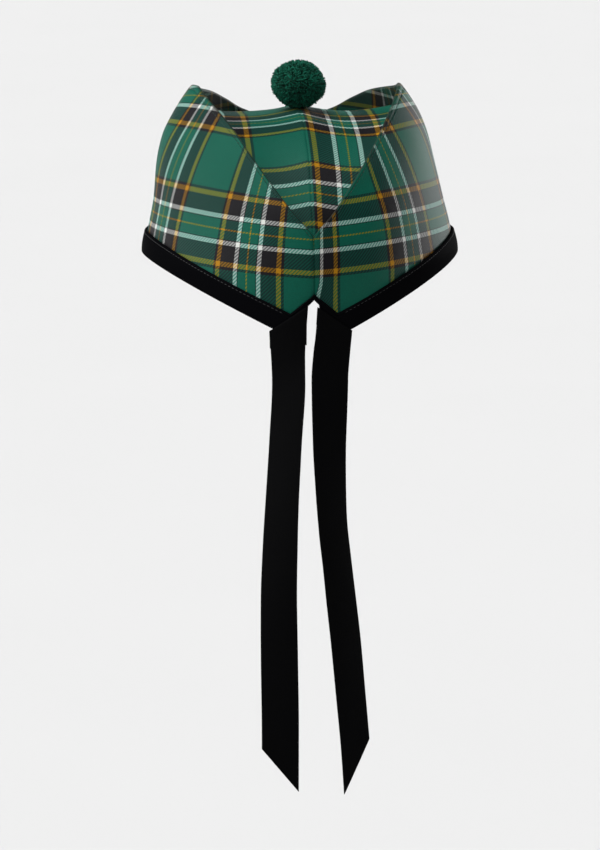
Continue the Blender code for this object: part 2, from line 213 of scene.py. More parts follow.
def running_length(points: np.ndarray, axis: int = 0) -> np.ndarray:
    """Length of the way to each point, along one axis of an array of points."""
    steps = np.linalg.norm(np.diff(points, axis=axis), axis=-1)
    start = np.zeros_like(steps.take([0], axis=axis))
    return np.concatenate([start, np.cumsum(steps, axis=axis)], axis=axis)


def towards(azimuth: float, elevation: float) -> Vector:
    """Direction at degrees round from the cap's front and degrees above the horizon."""
    turn, rise = math.radians(azimuth), math.radians(elevation)
    return Vector((math.sin(turn) * math.cos(rise), -math.cos(turn) * math.cos(rise),
                   math.sin(rise)))


def tube(rings: int, sides: int) -> tuple[np.ndarray, np.ndarray]:
    """Point numbers of closed rings, and corner numbers of the faces between them."""
    numbers = np.arange(rings * sides).reshape(rings, sides)
    turned = np.roll(numbers, -1, axis=1)
    quads = np.stack([numbers[:-1], turned[:-1], turned[1:], numbers[1:]], axis=-1).reshape(-1, 4)
    return numbers, quads


class SmoothTable:
    """A table that is read smoothly between its rows and doesn't overshoot them."""

    def __init__(self, rows: Rows, column: int = 1, place_scale: float = MM,
                 value_scale: float = MM) -> None:
        """Keep the rows' places and values, and the slope at each row.

        Args:
            rows: The table's rows, with rising places in the first column.
            column: The column to read.
            place_scale: Unit of the places.
            value_scale: Unit of the values.
        """
        self.places = np.array([row[0] for row in rows], float) * place_scale
        self.values = np.array([row[column] for row in rows], float) * value_scale
        self.spans = np.diff(self.places)
        steps = np.diff(self.values) / self.spans
        product, total = steps[:-1] * steps[1:], steps[:-1] + steps[1:]
        inner = np.zeros_like(product)
        np.divide(2 * product, total, out=inner, where=product > 0)
        self.slopes = np.concatenate([steps[:1], inner, steps[-1:]])

    def at(self, place: Any) -> np.ndarray:
        """Read the table.

        Args:
            place: One place or an array of them.

        Returns:
            The values there.
        """
        place = np.clip(np.asarray(place, float), self.places[0], self.places[-1])
        row = np.clip(np.searchsorted(self.places, place, "right") - 1, 0, len(self.spans) - 1)
        span = self.spans[row]
        share = (place - self.places[row]) / span
        squared, cubed = share ** 2, share ** 3
        return (self.values[row] * (2 * cubed - 3 * squared + 1)
                + self.values[row + 1] * (3 * squared - 2 * cubed)
                + span * self.slopes[row] * (cubed - 2 * squared + share)
                + span * self.slopes[row + 1] * (cubed - squared))


@dataclass(frozen=True)
class CapForm:
    """The cap's outer face and crown: a rounded wedge in plan whose walls lean in.

    A place on the wall is its turn, from 0 at the rear seam to 1 at the front seam, and its
    height.
    """

    half_width: float = 86.2 * MM
    rear_length: float = 96.0 * MM
    front_length: float = 110.0 * MM
    plan_power: float = 1.75
    front_lean: float = 0.5
    panel_thickness: float = 2.4 * MM
    crown_thickness: float = 1.6 * MM
    ribbon_thickness: float = 1.0 * MM
    ribbon_width: float = 20.0 * MM
    gap: float = 0.3 * MM
    seam_gap: float = 0.02 * MM
    cloth_gap: float = 0.5 * MM
    rear_dip: float = 37.5 * MM
    front_dip: float = 24.0 * MM
    dip_power: float = 1.1
    slit_top: float = -11.3 * MM
    slit_shoulder: float = -14.5 * MM
    slit_half_width: float = 3.6 * MM
    shoulder_in: float = 0.4 * MM
    corner_out: float = 0.5 * MM
    crest_drop: float = 4.5 * MM
    crest_reach: float = 20.0 * MM
    flank_lift: float = 2.6 * MM
    flank_reach: float = 50.0 * MM
    crown_fold: float = 2.5 * MM
    crown_below_edge: float = 2.4 * MM

    lean_left = SmoothTable(PANEL_LEAN, 1)
    lean_right = SmoothTable(PANEL_LEAN, 2)
    lean_rear = SmoothTable(PANEL_LEAN, 3)
    tops = {Side.LEFT: SmoothTable(PANEL_TOP, 1, place_scale=1.0),
            Side.RIGHT: SmoothTable(PANEL_TOP, 2, place_scale=1.0)}
    ridge = SmoothTable(CROWN_RIDGE, 1)

    def lean(self, turn: np.ndarray, height: np.ndarray, side: Side) -> np.ndarray:
        """Inward lean at a place, equal on both sides at the two seams."""
        left, right = self.lean_left.at(height), self.lean_right.at(height)
        return (left + right) / 2 + side.value * (left - right) / 2 * np.sin(np.pi * turn) ** 2

    def axes(self, turn: np.ndarray, height: np.ndarray, side: Side) -> tuple:
        """Half width and end length of the plan at a place."""
        inward = self.lean(turn, height, side)
        rear = self.rear_length - self.lean_rear.at(height)
        front = self.front_length - self.front_lean * inward
        return self.half_width - inward, np.where(turn < 0.5, rear, front)

    def spread(self, turn: np.ndarray) -> tuple:
        """Shares of the half width and of the end length that a turn reaches."""
        power = 2 / self.plan_power
        return np.abs(np.sin(np.pi * turn)) ** power, np.abs(np.cos(np.pi * turn)) ** power

    def outward(self, turn: np.ndarray, height: np.ndarray, side: Side) -> np.ndarray:
        """Unit vectors that point out of the cap, square to its outer face."""
        width, length = self.axes(turn, height, side)
        step = 1.0 * MM
        above, below = self.axes(turn, height + step, side), self.axes(turn, height - step, side)
        narrowing, shortening = [(low - high) / (2 * step) for low, high in zip(below, above)]
        across, along = self.spread(turn)
        rise = (narrowing * across ** self.plan_power / width
                + shortening * along ** self.plan_power / length)
        flat = self.plan_power - 1
        return unit(np.stack([side.value * across ** flat / width,
                              np.copysign(along ** flat / length, 0.5 - turn),
                              rise * np.ones_like(across)], axis=-1))

    def face(self, turn: np.ndarray, height: np.ndarray, side: Side) -> np.ndarray:
        """Points on the cap's outer face."""
        width, length = self.axes(turn, height, side)
        across, along = self.spread(turn)
        return np.stack([side.value * width * across,
                         np.copysign(length * along, 0.5 - turn), height], axis=-1)

    def off_seam(self, points: np.ndarray, side: Side) -> np.ndarray:
        """Keep points on their own half of the cap."""
        points[..., 0] = side.value * np.maximum(side.value * points[..., 0], self.seam_gap / 2)
        return points

    def skin(self, turn: Any, height: Any, side: Side, depth: Any = 0.0) -> np.ndarray:
        """Points at a depth under the cap's outer face.

        Args:
            turn: Turns from the rear seam, 0 to 1.
            height: Heights.
            side: The cap's half. Nothing crosses the seam between the two.
            depth: Depths under the face. Below 0 is outside it.

        Returns:
            The points, with a last axis of 3.
        """
        turn, height, depth = np.broadcast_arrays(turn, height, depth)
        inward = self.outward(turn, height, side) * depth[..., None]
        return self.off_seam(self.face(turn, height, side) - inward, side)

    def turn_at(self, across: Any, height: Any) -> np.ndarray:
        """Turn at which the rear half of the outer face lies a distance from the middle."""
        width = self.half_width - self.lean(np.zeros(1), np.asarray(height, float), Side.LEFT)
        share = np.minimum(np.abs(across) / width, 1.0)
        return np.arcsin(share ** (self.plan_power / 2)) / np.pi

    def rim(self, turn: np.ndarray) -> np.ndarray:
        """Height of the rim's lower edge, without the slit."""
        across, _ = self.spread(turn)
        return -np.where(turn < 0.5, self.rear_dip, self.front_dip) * (1 - across) ** self.dip_power

    def slit(self, inset: float) -> list[tuple[float, float]]:
        """Turns and heights of a lower edge round the slit, from its top to its corner."""
        half = self.slit_half_width + inset
        shoulder = float(self.turn_at(half - self.shoulder_in, self.slit_shoulder)[0])
        corner = float(self.turn_at(half + self.corner_out, -self.rear_dip)[0])
        low = float(self.rim(np.array(corner)))
        return [(0.0, self.slit_top + inset), (shoulder, self.slit_shoulder + inset),
                (corner, low + inset)]

    def edge(self, inset: float, count: int) -> tuple[np.ndarray, np.ndarray]:
        """Turns and lower heights of the cloth's columns, closer together round the slit.

        Args:
            inset: Height of the cloth's edge above the rim.
            count: Columns from the slit's corner to the front seam.

        Returns:
            Two arrays of one length.
        """
        marks = self.slit(inset)
        corner = marks[-1][0]
        round_slit = np.concatenate([np.linspace(0, marks[1][0], 6)[:-1],
                                     np.linspace(marks[1][0], corner, 4)[:-1]])
        along = corner + (1 - corner) * np.linspace(0, 1, count)
        low = np.interp(round_slit, [mark[0] for mark in marks], [mark[1] for mark in marks])
        return np.concatenate([round_slit, along]), np.concatenate([low, self.rim(along) + inset])

    def crown(self, across: Any, back: Any) -> np.ndarray:
        """Height of the crown's upper face: a ridge that climbs again at the flanks."""
        reach = np.abs(across)
        crest = self.crest_drop * np.tanh(reach / self.crest_reach)
        return self.ridge.at(back) - crest + self.flank_lift * (reach / self.flank_reach) ** 4

    def crown_up(self, across: np.ndarray, back: np.ndarray) -> np.ndarray:
        """Unit vectors square to the crown's upper face."""
        step, reach = 0.5 * MM, np.abs(across)
        rise_x = (self.crown(reach + step, back) - self.crown(reach, back)) / step
        rise_y = (self.crown(across, back + step) - self.crown(across, back - step)) / (2 * step)
        return unit(np.stack([-np.copysign(rise_x, across), -rise_y, np.ones_like(rise_y)], axis=-1))

    def corner(self, turn: np.ndarray, side: Side) -> tuple[np.ndarray, np.ndarray]:
        """Where the crown's upper face would run into the panel, and the width of its fold."""
        depth = self.panel_thickness + self.cloth_gap
        low, high = np.full_like(turn, -10 * MM), self.tops[side].at(turn) - self.crown_below_edge
        for _ in range(30):
            middle = (low + high) / 2
            point = self.skin(turn, middle, side, depth)
            over = point[..., 2] > self.crown(point[..., 0], point[..., 1])
            low, high = np.where(over, low, middle), np.where(over, middle, high)
        point = self.skin(turn, low, side, depth)
        fold = np.minimum(self.crown_fold, 0.3 * (np.abs(point[..., 0]) - self.seam_gap / 2))
        return point, fold


class ClothLay:
    """How flat cloth lies on one wall of the cap.

    Its threads run level round the head where the wall stands upright, and climb square to that,
    so they follow the wall as it leans in.
    """

    def __init__(self, form: CapForm, side: Side) -> None:
        """Lay the cloth from the level line, upwards and downwards.

        Args:
            form: The cap's form.
            side: The cap's half.
        """
        self.heights = np.linspace(-42, 98, 141) * MM
        self.turns = np.linspace(0, 1, 801)
        turn, height = np.meshgrid(self.turns, self.heights)
        wall = form.face(turn, height, side)
        plan = running_length(wall[..., :2], axis=1)
        round_head = np.gradient(wall, self.turns, axis=1)
        climb = np.gradient(wall, self.heights, axis=0)
        drift = -(climb * round_head).sum(-1) / ((round_head ** 2).sum(-1) + 1e-12)
        rise = np.linalg.norm(climb + drift[..., None] * round_head, axis=-1)

        self.plan, self.level = plan, plan.copy()
        self.up = np.repeat(self.heights[:, None], len(self.turns), axis=1)
        start = int(np.argmin(np.abs(self.heights - 8 * MM)))
        step = self.heights[1] - self.heights[0]
        for way, rows in ((1, range(start + 1, len(self.heights))), (-1, range(start - 1, -1, -1))):
            for row in rows:
                last = row - way
                source = self.turns - way * drift[last] * step
                self.level[row] = np.interp(source, self.turns, self.level[last])
                self.up[row] = (np.interp(source, self.turns, self.up[last])
                                + way * rise[last] * step)

    def read(self, table: np.ndarray, turn: Any, height: Any) -> np.ndarray:
        """Read one of the cloth's tables (plan, level or up) at places on the wall."""
        turn, height = np.broadcast_arrays(turn, height)
        column = np.clip(turn, 0, 1) * (len(self.turns) - 1)
        row = (height - self.heights[0]) / (self.heights[1] - self.heights[0])
        row = np.clip(row, 0, len(self.heights) - 1)
        left = np.minimum(column.astype(int), len(self.turns) - 2)
        lower = np.minimum(row.astype(int), len(self.heights) - 2)
        share_x, share_y = column - left, row - lower
        found = 0.0
        for step_y, weight_y in ((0, 1 - share_y), (1, share_y)):
            for step_x, weight_x in ((0, 1 - share_x), (1, share_x)):
                found = found + weight_x * weight_y * table[lower + step_y, left + step_x]
        return found


class Ripples:
    """Gentle unevenness of pressed cloth: a few long waves with seeded directions."""

    def __init__(self, seed: int, wavelength: float, amplitude: float, count: int = 7) -> None:
        """Draw the waves.

        Args:
            seed: Seed of the draws.
            wavelength: Middle wavelength.
            amplitude: Height of all waves together.
            count: Number of waves.
        """
        chance = np.random.default_rng(seed)
        lengths = wavelength * chance.uniform(0.6, 1.7, count)
        self.vectors = unit(chance.normal(size=(count, 3))) * (2 * np.pi / lengths)[:, None]
        self.phases = chance.uniform(0, 2 * np.pi, count)
        self.amplitude = amplitude / math.sqrt(count)

    def at(self, points: np.ndarray) -> np.ndarray:
        """Heights of the waves at points."""
        return self.amplitude * np.sin(points @ self.vectors.T + self.phases).sum(axis=-1)


def build_mesh(name: str, points: np.ndarray, faces: Sequence[Sequence[int]],
               weave: Optional[np.ndarray] = None, values: Optional[dict[str, np.ndarray]] = None,
               merge: bool = False, sharp: float = 50.0) -> bpy.types.Object:
    """Make a piece from points and faces.

    Args:
        name: The piece's name.
        points: Its points, one row each.
        faces: Corner numbers of each face.
        weave: Cloth coordinates in metres, one pair a point.
        values: Named numbers, one a point, that materials read.
        merge: Whether points that coincide are merged.
        sharp: Angle in degrees past which an edge is sharp.

    Returns:
        The new object, shaded smooth.
    """
    mesh = bpy.data.meshes.new(name)
    mesh.from_pydata(points.tolist(), [], [list(face) for face in faces])
    if weave is not None:
        corners = np.empty(len(mesh.loops), int)
        mesh.loops.foreach_get("vertex_index", corners)
        layer = mesh.uv_layers.new(name=WEAVE_UV)
        layer.data.foreach_set("uv", weave[corners].astype(np.float32).ravel())
    for key, numbers in (values or {}).items():
        attribute = mesh.attributes.new(key, "FLOAT", "POINT")
        attribute.data.foreach_set("value", numbers.astype(np.float32).ravel())
    work = bmesh.new()
    work.from_mesh(mesh)
    if merge:
        bmesh.ops.remove_doubles(work, verts=work.verts, dist=0.004 * MM)
    bmesh.ops.recalc_face_normals(work, faces=work.faces)
    work.to_mesh(mesh)
    work.free()
    mesh.shade_smooth()
    mesh.set_sharp_from_angle(angle=math.radians(sharp))
    piece = bpy.data.objects.new(name, mesh)
    bpy.context.scene.collection.objects.link(piece)
    return piece


def loft(name: str, loops: np.ndarray, weave: np.ndarray,
         values: Optional[dict[str, np.ndarray]] = None, sharp: float = 50.0) -> bpy.types.Object:
    """Skin closed loops of points, one after another, and close both ends.

    Args:
        name: The piece's name.
        loops: Points, as loops by points by 3.
        weave: Cloth coordinates, as loops by points by 2.
        values: Named numbers, as loops by points.
        sharp: Angle in degrees past which an edge is sharp.

    Returns:
        The new object.
    """
    numbers, quads = tube(*loops.shape[:2])
    faces = quads.tolist() + [numbers[0].tolist(), numbers[-1].tolist()]
    flat = {key: number.reshape(-1) for key, number in (values or {}).items()}
    return build_mesh(name, loops.reshape(-1, 3), faces, weave.reshape(-1, 2), flat, True, sharp)


def add_node(tree: bpy.types.NodeTree, kind: str, values: Any = (),
             **settings: Any) -> bpy.types.Node:
    """Add a node with its settings and links.

    Args:
        tree: The material's or world's node tree.
        kind: Blender's name for the kind of node, after "ShaderNode".
        values: What goes into the inputs, in order, or by name or number. A socket is linked, a
            node is linked from its first output, and anything else is set.
        settings: Values of the node's own properties.

    Returns:
        The node.
    """
    node = tree.nodes.new(f"ShaderNode{kind}")
    for name, setting in settings.items():
        setattr(node, name, setting)
    for key, value in values.items() if isinstance(values, dict) else enumerate(values):
        if isinstance(value, bpy.types.Node):
            value = value.outputs[0]
        if isinstance(value, bpy.types.NodeSocket):
            tree.links.new(value, node.inputs[key])
        else:
            node.inputs[key].default_value = value
    return node


def start_material(name: str) -> tuple[bpy.types.Material, bpy.types.NodeTree]:
    """Make a material with an empty node tree."""
    material = bpy.data.materials.new(name)
    material.use_nodes = True
    material.node_tree.nodes.clear()
    return material, material.node_tree


def end_material(tree: bpy.types.NodeTree, values: dict) -> None:
    """Add the surface shader with its values and links, and the output."""
    add_node(tree, "OutputMaterial", {"Surface": add_node(tree, "BsdfPrincipled", values)})


def shade_by(tree: bpy.types.NodeTree, shade: Any, parts: Rows) -> bpy.types.Node:
    """Multiply a shade by parts of the pattern, each with its own gain and base."""
    for part, gain, base in parts:
        light = add_node(tree, "Math", (part, gain, base), operation="MULTIPLY_ADD")
        shade = light if shade is None else add_node(tree, "Math", (shade, light),
                                                     operation="MULTIPLY")
    return shade


@dataclass(frozen=True)
class TartanWool:
    """Worsted wool tartan in a 2/2 twill.

    Pressed hard, so it shows clean checks with a soft sheen, and fine diagonals where a light
    yarn crosses a dark one. Two crossing colours read as midway between them in lightness. Painted
    shade darkens the inside, the folded edges and each yarn towards its edges.
    """

    name: str = "tartan_wool_twill"
    green: str = "004E3E"
    black: str = "0E0C10"
    gold: str = "9D6D07"
    white: str = "C8CAC5"
    orange: str = "98700A"
    # Real yarns lie about 0.3 mm apart. They are drawn coarser, so that the twill shows
    yarn_spacing: float = 0.50 * MM
    twill_contrast: float = 0.20
    # How far painted shade darkens the panel's inside face
    inside_painted_shade: float = 0.20
    roughness: float = 0.50
    half_sett: float = 36.05 * MM
    lightness_gamma: float = 2.2
    # Near black that paints shade along the folded edges
    fold_shade_colour: tuple[float, float, float, float] = (0.14, 0.15, 0.12, 1.0)

    def stripes(self) -> tuple[tuple[float, str], ...]:
        """Where each colour starts, in mm from the middle of the broad green, up to the mirror."""
        return ((0.0, self.green), (14.9, self.black), (16.4, self.gold), (19.1, self.black),
                (27.75, self.white), (30.15, self.black), (30.75, self.green), (35.5, self.orange))

    def yarns(self, tree: bpy.types.NodeTree, place: bpy.types.NodeSocket) -> bpy.types.Node:
        """Colour of the yarns in one direction, as lightness that can be mixed evenly."""
        mirrored = add_node(tree, "Math", (place, self.half_sett), operation="PINGPONG")
        share = add_node(tree, "Math", (mirrored, self.half_sett), operation="DIVIDE")
        ramp = add_node(tree, "ValToRGB", [share])
        stops = ramp.color_ramp
        stops.interpolation = "CONSTANT"
        for number, (start, colour) in enumerate(self.stripes()):
            at = start * MM / self.half_sett
            stop = stops.elements[number] if number < 1 else stops.elements.new(at)
            stop.position, stop.color = at, linear(colour)
        stops.elements.remove(stops.elements[-1])
        return add_node(tree, "Gamma", (ramp, 1 / self.lightness_gamma))

    def make(self) -> bpy.types.Material:
        """Build the material on the weave coordinates, which are metres of cloth."""
        material, tree = start_material(self.name)
        split = add_node(tree, "SeparateXYZ", [add_node(tree, "UVMap", uv_map=WEAVE_UV)])
        ways = [split.outputs[0], split.outputs[1]]
        warp, weft = [self.yarns(tree, way) for way in ways]

        places = [add_node(tree, "Math", (way, self.yarn_spacing), operation="DIVIDE")
                  for way in ways]
        across, along = [add_node(tree, "Math", [place], operation="FLOOR") for place in places]
        number = add_node(tree, "Math", (along, across), operation="SUBTRACT")
        step = add_node(tree, "Math", (number, 4.0), operation="FLOORED_MODULO")
        over = add_node(tree, "Math", (step, 1.5), operation="LESS_THAN")
        share = add_node(tree, "Math", (over, 2 * self.twill_contrast, 0.5 - self.twill_contrast),
                         operation="MULTIPLY_ADD")
        mixed = add_node(tree, "Mix", {0: share, 6: warp, 7: weft}, data_type="RGBA")

        rounds = []
        for place in places:
            part = add_node(tree, "Math", [place], operation="FRACT")
            half_turn = add_node(tree, "Math", (part, math.pi), operation="MULTIPLY")
            rounds.append(add_node(tree, "Math", [half_turn], operation="SINE"))
        # The relief is also painted into the colour below as shade: each yarn is darker towards its
        # edges, where it rounds away
        relief = add_node(tree, "Mix", {0: over, 2: rounds[0], 3: rounds[1]}, data_type="FLOAT")

        coordinates = add_node(tree, "TexCoord").outputs["Object"]
        fibre, patch = [
            add_node(tree, "TexNoise", {"Vector": coordinates, "Scale": 1 / size, "Detail": detail})
            for size, detail in ((0.9 * MM, 2.0), (38 * MM, 3.0))]
        edge, inside = [add_node(tree, "Attribute", attribute_name=name).outputs["Fac"]
                        for name in ("edge", "inside")]
        # Painted shade: the inside share darkens the panel's inside face. Fibre and patch noise are
        # the cloth's own uneven tone, and relief is painted shade on each yarn
        shade = shade_by(tree, None, ((fibre, 0.16, 0.92), (patch, 0.16, 0.92),
                                      (relief, 0.16, 0.90), (inside, -self.inside_painted_shade, 1.0)))
        shaded = add_node(tree, "Mix", {0: 1.0, 6: mixed.outputs[2], 7: shade}, data_type="RGBA",
                          blend_type="MULTIPLY")
        # Painted shade along the folded top edges: the colour is pulled towards a near black there,
        # broken up by fibre noise
        fold_shade_share = shade_by(tree, edge, [(fibre, 0.7, 0.4)])
        fold_shaded = add_node(tree, "Mix", {0: fold_shade_share, 6: shaded.outputs[2], 7: self.fold_shade_colour},
                        data_type="RGBA")
        colour = add_node(tree, "Gamma", (fold_shaded.outputs[2], self.lightness_gamma))

        height = add_node(tree, "Math", (fibre, 0.7, relief), operation="MULTIPLY_ADD")
        bump = add_node(tree, "Bump", {"Strength": 0.45, "Distance": 0.12 * MM, "Height": height})
        end_material(tree, {"Base Color": colour, "Normal": bump, "Roughness": self.roughness,
                            "Sheen Weight": 0.02, "Sheen Roughness": 0.45,
                            "Specular IOR Level": 0.1})
        return material


@dataclass(frozen=True)
class WovenRibbon:
    """Black ribbon of twisted yarn: satin with a low gloss, or grosgrain with cross ribs.

    The ribs catch a faint line of light each.
    """

    name: str
    colour: str
    roughness: float
    rib_spacing: float
    rib_depth: float
    gloss: float
    # Near black painted between the ribs as shade
    hollow_shade: str = "010101"

    def make(self) -> bpy.types.Material:
        """Build the material on the weave coordinates: across the ribbon and along it."""
        material, tree = start_material(self.name)
        split = add_node(tree, "SeparateXYZ", [add_node(tree, "UVMap", uv_map=WEAVE_UV)])
        turns = add_node(tree, "Math", (split.outputs[1], 2 * math.pi / self.rib_spacing),
                         operation="MULTIPLY")
        wave = add_node(tree, "Math", [turns], operation="SINE")
        rib = add_node(tree, "Math", (wave, 0.5, 0.5), operation="MULTIPLY_ADD")
        coordinates = add_node(tree, "TexCoord").outputs["Object"]
        fibre, patch = [
            add_node(tree, "TexNoise", {"Vector": coordinates, "Scale": 1 / size, "Detail": 2.0})
            for size in (0.7 * MM, 22 * MM)]
        # Painted light: rib crests lighter and the hollows between them painted darker, towards a
        # near black; fibre noise is the yarn's own uneven tone
        light = shade_by(tree, None, ((rib, 0.35, 0.65), (fibre, 0.5, 0.75)))
        colour = add_node(tree, "Mix", {0: light, 6: linear(self.hollow_shade), 7: linear(self.colour)},
                          data_type="RGBA")
        height = add_node(tree, "Math", (fibre, 0.35, rib), operation="MULTIPLY_ADD")
        bump = add_node(tree, "Bump", {"Strength": 0.5, "Distance": self.rib_depth,
                                       "Height": height})
        rough = add_node(tree, "Math", (patch, 0.14, self.roughness - 0.07),
                         operation="MULTIPLY_ADD")
        end_material(tree, {"Base Color": colour.outputs[2], "Normal": bump, "Roughness": rough,
                            "Specular IOR Level": self.gloss})
        return material


@dataclass(frozen=True)
class CutYarn:
    """Cut wool yarn: matt and dark, with paler cut ends and painted shade between the strands."""

    name: str = "cut_wool_yarn"
    # Near black painted at each strand's root, as shade in the middle of the ball
    root_shade: str = "01120D"
    tip: str = "1C7A60"
    roughness: float = 0.92

    def make(self) -> bpy.types.Material:
        """Build the material on each strand's own shade and the distance out along it."""
        material, tree = start_material(self.name)
        out, strand = [add_node(tree, "Attribute", attribute_name=name).outputs["Fac"]
                       for name in ("out", "strand")]
        coordinates = add_node(tree, "TexCoord").outputs["Object"]
        fibre = add_node(tree, "TexNoise", {"Vector": coordinates, "Scale": 1 / (0.35 * MM),
                                            "Detail": 2.0})
        # Painted shade: the colour darkens from each strand's cut end towards its root, varied by the
        # strand's own tone and fibre noise
        share = shade_by(tree, out, ((strand, 0.8, 0.2), (fibre, 0.8, 0.5)))
        colour = add_node(tree, "Mix", {0: share, 6: linear(self.root_shade), 7: linear(self.tip)},
                          data_type="RGBA")
        bump = add_node(tree, "Bump", {"Strength": 0.6, "Distance": 0.15 * MM, "Height": fibre})
        end_material(tree, {"Base Color": colour.outputs[2], "Normal": bump,
                            "Roughness": self.roughness, "Sheen Weight": 0.04,
                            "Sheen Roughness": 0.5, "Specular IOR Level": 0.1})
        return material


@dataclass(frozen=True)
class SewingThread:
    """Spun polyester thread: two plies that twist, with a slight gloss."""

    name: str
    colour: str
    twist: float = 0.55 * MM

    def make(self) -> bpy.types.Material:
        """Build the material with a fine slanting twist."""
        material, tree = start_material(self.name)
        coordinates = add_node(tree, "TexCoord").outputs["Object"]
        plies = add_node(tree, "TexWave", {"Vector": coordinates, "Scale": 1 / (self.twist * 2)},
                         bands_direction="DIAGONAL").outputs["Fac"]
        base = linear(self.colour)
        shadow = tuple(part * 0.5 for part in base[:3]) + (1.0,)
        colour = add_node(tree, "Mix", {0: plies, 6: shadow, 7: base}, data_type="RGBA")
        bump = add_node(tree, "Bump", {"Strength": 0.4, "Distance": 0.06 * MM, "Height": plies})
        end_material(tree, {"Base Color": colour.outputs[2], "Normal": bump, "Roughness": 0.55,
                            "Specular IOR Level": 0.4})
        return material


def settle(piece: bpy.types.Object, material: bpy.types.Material, slot: str, *nodes: str) -> None:
    """Give a piece its finish, and let it ride on the cap in place of its frame nodes.

    Args:
        piece: The piece.
        material: Its finish.
        slot: Name of a material slot. Not used.
        nodes: Frame nodes that it stands for.
    """
    piece.data.materials.append(material)
    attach(piece, BODY)
    if nodes:
        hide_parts(*nodes)
    piece.data.calc_loop_triangles()
    LOG.info("%s: %d triangles", piece.name, len(piece.data.loop_triangles))


@dataclass
class SidePanel:
    """One doubled tartan panel: it leans in, rolls over at its top edge and meets its twin."""

    form: CapForm
    side: Side
    columns: int = 170
    edge_rows: int = 18
    edge_band: float = 4.5 * MM
    face_rows: int = 46
    fold_steps: int = 8
    inside_rows: int = 18
    hidden_rows: int = 5
    stitch_inset: float = 2.7 * MM
    stitch_groove: float = 0.32 * MM
    groove_reach: float = 0.42 * MM
    pucker_depth: float = 0.10 * MM
    pucker_pitch: float = 2.6 * MM
    pucker_reach: float = 1.6 * MM
    uneven_depth: float = 0.42 * MM
    uneven_length: float = 46 * MM
    uneven_from: float = 9 * MM
    seam_roll: float = 0.9 * MM
    seam_reach: float = 1.8 * MM
    sett_height: float = -12.55 * MM

    def cloth(self, turn: np.ndarray, height: np.ndarray, lay: ClothLay) -> np.ndarray:
        """Cloth coordinates of places on the panel, laid from the rear seam.

        Pressing has made the cloth stray a little from its even lay, further out and higher up.
        """
        level, up = lay.read(lay.level, turn, height), lay.read(lay.up, turn, height)
        out, high = np.minimum(level, STRAY_REACH[0]), np.clip(up, 0, STRAY_REACH[1])
        stray_round, stray_up = [
            MM * np.polynomial.polynomial.polyval2d(out / STRAY_UNIT[0], high / STRAY_UNIT[1],
                                                    np.array(table))
            for table in CLOTH_STRAY[self.side]]
        eased = SEAM_EASE[self.side] * np.maximum(EASE_REACH - level, 0.0)
        eased = eased * (1 - EASE_LOST * smooth_step(-height / EASE_LOST_OVER))
        return np.stack([-self.side.value * (level + stray_round - eased - SETT_START[self.side]),
                         up + stray_up - self.sett_height], axis=-1)

    def rows(self, low: np.ndarray, top: np.ndarray, start: np.ndarray) -> tuple:
        """Heights, depths and distances from the top edge of a panel's loop, outside then inside."""
        half = self.form.panel_thickness / 2
        shoulder = top - half
        band = np.minimum(self.edge_band, 0.4 * (shoulder - low))
        near = shoulder - band * np.linspace(0, 1, self.edge_rows)[:, None]
        far = near[-1] + (low - near[-1]) * np.linspace(0, 1, self.face_rows)[1:, None]
        outside = np.concatenate([near, far])[::-1]
        angle = np.linspace(0, np.pi, self.fold_steps + 1)[1:-1, None]
        crease = shoulder + half * np.sin(angle)
        bend = np.minimum(start, shoulder - 0.5 * MM)
        inside = shoulder + (bend - shoulder) * np.linspace(0, 1, self.inside_rows)[:, None]
        hidden = bend + (low - bend) * np.linspace(0, 1, self.hidden_rows)[1:, None]
        heights = np.concatenate([outside, crease, inside, hidden])
        flat = np.ones_like(low)
        depths = np.concatenate([0 * outside, half * (1 - np.cos(angle)) * flat,
                                 2 * half * np.ones_like(inside), 2 * half * np.ones_like(hidden)])
        return heights, depths, top - heights

    def relief(self, place: np.ndarray, round_head: np.ndarray, total: np.ndarray,
               from_top: np.ndarray) -> np.ndarray:
        """How far the outside face sinks: seams, the line of stitches and pressed unevenness."""
        seam = np.clip(1 - np.minimum(round_head, total - round_head) / self.seam_reach, 0, 1)
        from_line = from_top - self.stitch_inset
        line, near = bell(from_line, self.groove_reach), bell(from_line, self.pucker_reach)
        pucker = self.pucker_depth * np.sin(2 * np.pi * round_head / self.pucker_pitch)
        uneven = Ripples(5 + self.side.value, self.uneven_length, self.uneven_depth).at(place)
        return (self.seam_roll * seam ** 2 + self.stitch_groove * line + pucker * near
                + uneven * smooth_step(from_top / self.uneven_from))

    def build(self) -> bpy.types.Object:
        """Model the panel.

        Returns:
            The panel's object.
        """
        form, side = self.form, self.side
        lay = ClothLay(form, side)
        turn, low = form.edge(form.ribbon_thickness + form.gap, self.columns)
        top = form.tops[side].at(turn)
        corner, _ = form.corner(turn, side)
        heights, depths, from_top = self.rows(low, top, corner[:, 2] - form.crown_fold)
        turns = np.broadcast_to(turn, heights.shape)
        round_head = lay.read(lay.plan, turns, heights)
        total = lay.read(lay.plan, 1.0, heights)
        outside = depths < form.panel_thickness / 2
        sunk = self.relief(form.skin(turns, heights, side), round_head, total, from_top)
        points = form.skin(turns, heights, side, depths + np.where(outside, sunk, 0.0))
        weave = self.cloth(turns, heights, lay)
        # Share of painted shade along the folded top edge
        edge = 0.8 * bell(from_top, 0.9 * MM)
        # Share of painted shade on the panel's inside face
        inside = smooth_step(depths / form.panel_thickness)
        return loft(f"panel_cloth_{side.word}", points.transpose(1, 0, 2),
                    weave.transpose(1, 0, 2), {"edge": edge.T, "inside": inside.T})

    def stitch_line(self) -> tuple[np.ndarray, np.ndarray]:
        """Points and outward directions along the stitches under the panel's top edge."""
        form = self.form
        turn = np.linspace(0.004, 0.996, 900)
        height = form.tops[self.side].at(turn) - self.stitch_inset
        return form.skin(turn, height, self.side, 0.16 * MM), form.outward(turn, height, self.side)


